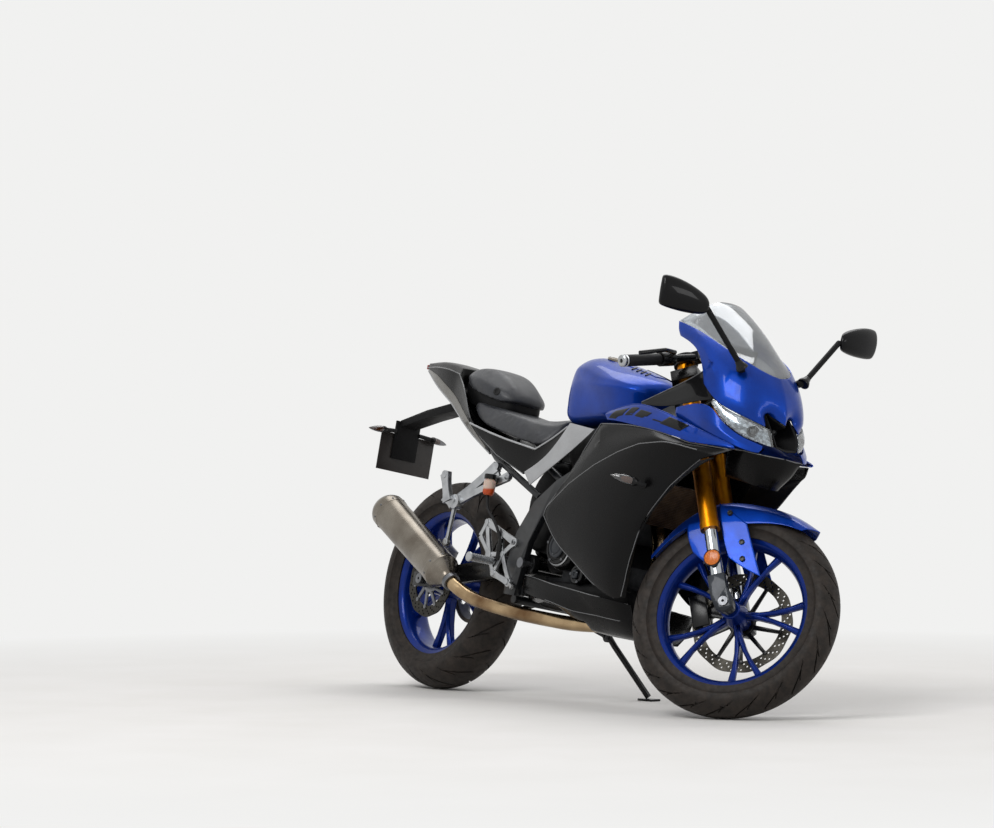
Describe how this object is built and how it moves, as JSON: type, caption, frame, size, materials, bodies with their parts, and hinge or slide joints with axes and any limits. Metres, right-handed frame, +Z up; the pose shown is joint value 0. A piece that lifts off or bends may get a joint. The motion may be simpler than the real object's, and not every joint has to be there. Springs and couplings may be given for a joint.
{
  "type": "sport bike",
  "caption": "Faired sport bike leaning on its side stand, with turning wheels, steering and folding stand.",
  "frame": {"origin": "on the ground, under the middle of the parked bike's bounding box", "axes": "+X to the front of the bike, +Y to the rider's left, +Z up; the bike leans 11 degrees to its left on the side stand with the steering on its left stop"},
  "size_m": [1.9904, 0.7632, 1.2186],
  "materials": {
    "amber_plastic": "amber reflector",
    "axle_steel": "zinc-plated steel",
    "black_frame": "satin black frame paint",
    "black_metal": "black enamel",
    "body_black": "satin black body plastic",
    "body_blue": "blue metallic lacquer",
    "body_grey": "dark grey lacquer",
    "body_silver": "warm silver lacquer",
    "bright_aluminium": "brushed cast aluminium",
    "chain_steel": "oiled chain steel",
    "chrome_tube": "hard chromed tube",
    "clear_plastic": "clear polycarbonate",
    "disc_steel": "ground brake steel",
    "gold_tube": "gold anodised tube",
    "grey_casting": "painted crankcase casting",
    "grip_rubber": "soft grip rubber",
    "muffler_steel": "brushed stainless steel",
    "pipe_steel": "heat-tinted stainless steel",
    "plate_grey": "blank painted plate",
    "radiator_grey": "black-painted fins, worn",
    "red_plastic": "red lamp lens",
    "seat_vinyl": "grained seat vinyl",
    "trim_black": "grained black plastic",
    "tyre": "matte tread rubber",
    "wheel_blue": "satin blue wheel paint"
  },
  "bodies": {
    "chassis": {"accent_panels": "body_silver", "belly_pan": "body_black", "chain": "chain_steel", "cheek_panels": "body_blue", "chin_cowl": "trim_black", "cowl_infills": "body_grey", "cowl_stay": "black_frame", "engine_block": "grey_casting", "engine_covers": "grey_casting", "exhaust_pipe": "pipe_steel", "fairing_liners": "trim_black", "footrest_plates": "bright_aluminium", "fuel_tank": "body_blue", "headlights": "clear_plastic", "indicators": "trim_black", "instrument_panel": "trim_black", "main_frame": "black_frame", "mirror_housings": "trim_black", "mirror_stalks": "trim_black", "muffler": "muffler_steel", "nose_duct": "trim_black", "number_plate": "plate_grey", "passenger_footrests": "bright_aluminium", "pillion_seat": "seat_vinyl", "pivot_bolt": "axle_steel", "plate_holder": "trim_black", "radiator": "radiator_grey", "rear_axle": "axle_steel", "rear_caliper": "black_metal", "rear_reservoir": "amber_plastic", "rear_shock": "black_metal", "rider_seat": "seat_vinyl", "seat_rails": "black_frame", "side_fairings": "body_black", "side_panels": "body_grey", "swingarm": "black_frame", "tail_cowl": "body_black", "tail_light": "red_plastic", "upper_cowl": "body_blue", "upper_side_strips": "body_blue", "windscreen": "clear_plastic"},
    "rear_wheel": {"rear_tyre": "tyre", "rear_rim": "wheel_blue", "rear_disc": "disc_steel", "rear_sprocket": "axle_steel"},
    "steering": {"bar_controls": "trim_black", "fork_feet": "black_metal", "fork_inner_tubes": "chrome_tube", "fork_outer_tubes": "gold_tube", "fork_reflectors": "amber_plastic", "front_axle": "axle_steel", "front_caliper": "black_metal", "front_mudguard": "body_blue", "grips": "grip_rubber", "handlebars": "black_metal", "triple_clamps": "black_metal"},
    "front_wheel": {"front_tyre": "tyre", "front_rim": "wheel_blue", "front_disc": "disc_steel"},
    "side_stand": {"side_stand": "black_metal"}
  },
  "joints": [
    {"name": "rear_wheel_spin", "type": "hinge", "parent": "chassis", "child": "rear_wheel", "pos_m": [-0.60297, -0.15452, 0.30959], "axis": [-0.0011, 0.9816, -0.1908], "continuous": true},
    {"name": "steering_turn", "type": "hinge", "parent": "chassis", "child": "steering", "pos_m": [0.46326, -0.06902, 0.74333], "axis": [-0.4333, 0.1715, 0.8848], "range_deg": [-66, 0]},
    {"name": "front_wheel_spin", "type": "hinge", "parent": "steering", "child": "front_wheel", "pos_m": [0.73048, -0.13502, 0.27667], "axis": [-0.4918, 0.7777, -0.3916], "continuous": true},
    {"name": "side_stand_fold", "type": "hinge", "parent": "chassis", "child": "side_stand", "pos_m": [0.03633, -0.06404, 0.18444], "axis": [-0.0011, 0.9816, -0.1908], "range_deg": [0, 95]}
  ]
}
